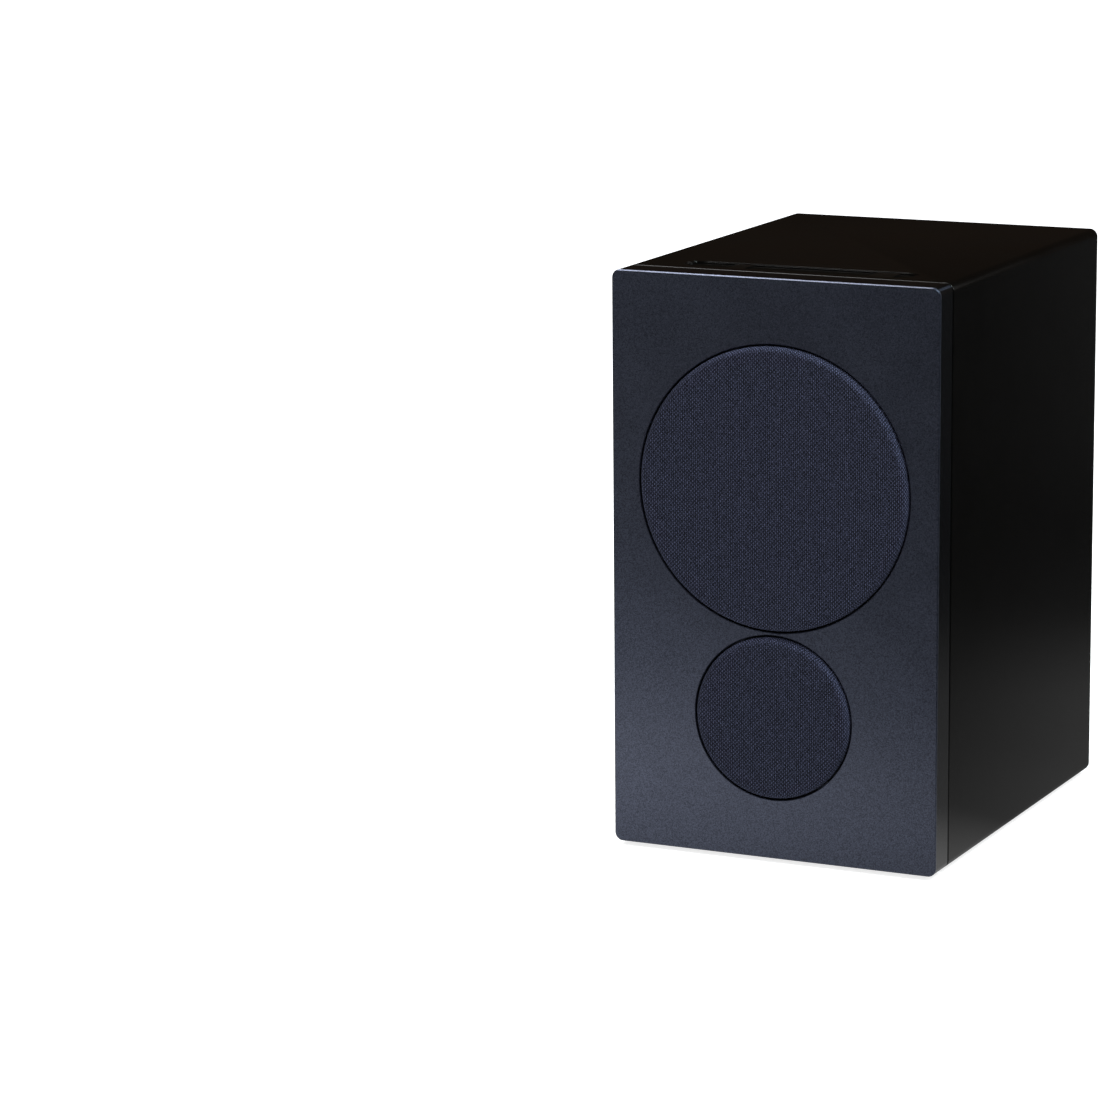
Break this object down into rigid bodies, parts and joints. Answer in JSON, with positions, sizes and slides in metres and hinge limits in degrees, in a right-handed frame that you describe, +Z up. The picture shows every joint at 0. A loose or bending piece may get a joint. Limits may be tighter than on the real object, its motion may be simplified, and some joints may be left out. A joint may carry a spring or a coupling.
{
  "type": "bookshelf speaker",
  "caption": "Powered two-way bookshelf speaker: black cabinet, separate front baffle, bass driver above a tweeter behind round cloth grilles, key strip on top.",
  "frame": {"origin": "on the surface the feet stand on, under the middle of the speaker's bounding box", "axes": "+X to the right of someone facing the speaker, -Y out of its front, +Z up"},
  "size_m": [0.184, 0.2586, 0.3125],
  "materials": {
    "cabinet_wrap": "satin black wrap over board, fine grain",
    "baffle_lacquer": "satin blue-grey lacquer with a fine speckle",
    "grille_cloth": "dark woven cloth",
    "black_plastic": "fine moulded grain",
    "gloss_key": "high gloss black",
    "rubber": "matt",
    "paper_cone": "pressed pulp, lightly coated",
    "silk_dome": "doped silk",
    "cast_alloy": "die cast",
    "steel": "zinc plated",
    "black_steel": "black powder coat",
    "black_aluminium": "black anodised",
    "ferrite": "ground ferrite",
    "copper": "enamelled winding",
    "board": "solder mask",
    "foam": "open-cell foam",
    "spider_cloth": "resin-dipped cotton",
    "lead_sleeve": "soft sleeve"
  },
  "bodies": {
    "speaker": {"cabinet_shell": "cabinet_wrap", "front_baffle": "baffle_lacquer", "baffle_gasket": "foam", "damping_blanket": "foam", "port_tube": "black_plastic", "foot_front_left": "rubber", "foot_front_right": "rubber", "foot_rear_left": "rubber", "foot_rear_right": "rubber", "woofer_basket": "cast_alloy", "woofer_surround": "rubber", "woofer_spider": "spider_cloth", "woofer_top_plate": "steel", "woofer_magnet": "ferrite", "woofer_yoke": "steel", "woofer_screw_1": "black_steel", "woofer_screw_2": "black_steel", "woofer_screw_3": "black_steel", "woofer_screw_4": "black_steel", "tweeter_faceplate": "black_plastic", "tweeter_surround": "rubber", "tweeter_top_plate": "steel", "tweeter_magnet": "ferrite", "tweeter_yoke": "steel", "tweeter_rear_cup": "black_plastic", "tweeter_screw_1": "black_steel", "tweeter_screw_2": "black_steel", "tweeter_screw_3": "black_steel", "control_bezel": "black_plastic", "control_board": "board", "amplifier_plate": "black_steel", "heat_sink": "black_aluminium", "phono_sockets": "black_plastic", "aux_socket": "black_plastic", "link_socket": "black_plastic", "mains_inlet": "black_plastic", "power_switch_frame": "black_plastic", "amplifier_board": "board", "power_transformer": "copper", "plate_screw_1": "black_steel", "plate_screw_2": "black_steel", "plate_screw_3": "black_steel", "plate_screw_4": "black_steel", "woofer_lead": "lead_sleeve", "tweeter_lead": "lead_sleeve"},
    "woofer_cone_assembly": {"woofer_cone": "paper_cone", "woofer_dust_cap": "paper_cone", "woofer_voice_coil": "copper"},
    "tweeter_dome_assembly": {"tweeter_dome": "silk_dome", "tweeter_voice_coil": "copper"},
    "woofer_grille": {"woofer_grille_frame": "black_plastic", "woofer_grille_cloth": "grille_cloth"},
    "tweeter_grille": {"tweeter_grille_frame": "black_plastic", "tweeter_grille_cloth": "grille_cloth"},
    "power_key": {"power_key": "gloss_key"},
    "volume_rocker": {"volume_rocker": "gloss_key"},
    "source_key": {"source_key": "gloss_key"},
    "power_switch_rocker": {"power_switch_rocker": "gloss_key"},
    "channel_slider": {"channel_slider": "black_plastic"},
    "pairing_button": {"pairing_button": "black_plastic"}
  },
  "joints": [
    {"name": "woofer_cone_travel", "type": "slide", "parent": "speaker", "child": "woofer_cone_assembly", "axis": [0, 1, 0], "range_m": [-0.004, 0.004], "stiffness_N_per_m": 900, "deforming": ["woofer_surround", "woofer_spider"]},
    {"name": "tweeter_dome_travel", "type": "slide", "parent": "speaker", "child": "tweeter_dome_assembly", "axis": [0, 1, 0], "range_m": [-0.0004, 0.0004], "stiffness_N_per_m": 800, "deforming": ["tweeter_surround"]},
    {"name": "woofer_grille_pull", "type": "slide", "parent": "speaker", "child": "woofer_grille", "axis": [0, -1, 0], "range_m": [0, 0.04]},
    {"name": "tweeter_grille_pull", "type": "slide", "parent": "speaker", "child": "tweeter_grille", "axis": [0, -1, 0], "range_m": [0, 0.04]},
    {"name": "power_key_press", "type": "slide", "parent": "speaker", "child": "power_key", "axis": [0, 0, -1], "range_m": [0, 0.0008], "stiffness_N_per_m": 400},
    {"name": "volume_rock", "type": "hinge", "parent": "speaker", "child": "volume_rocker", "pos_m": [0.006, -0.09075, 0.31], "axis": [0, 1, 0], "range_deg": [-1, 1], "stiffness_Nm_per_rad": 1.2},
    {"name": "source_key_press", "type": "slide", "parent": "speaker", "child": "source_key", "axis": [0, 0, -1], "range_m": [0, 0.0008], "stiffness_N_per_m": 400},
    {"name": "power_switch_toggle", "type": "hinge", "parent": "speaker", "child": "power_switch_rocker", "pos_m": [0.03, 0.11625, 0.0525], "axis": [1, 0, 0], "range_deg": [0, 24]},
    {"name": "channel_slide", "type": "slide", "parent": "speaker", "child": "channel_slider", "axis": [1, 0, 0], "range_m": [0, 0.004]},
    {"name": "pairing_press", "type": "slide", "parent": "speaker", "child": "pairing_button", "axis": [0, -1, 0], "range_m": [0, 0.001], "stiffness_N_per_m": 400}
  ]
}
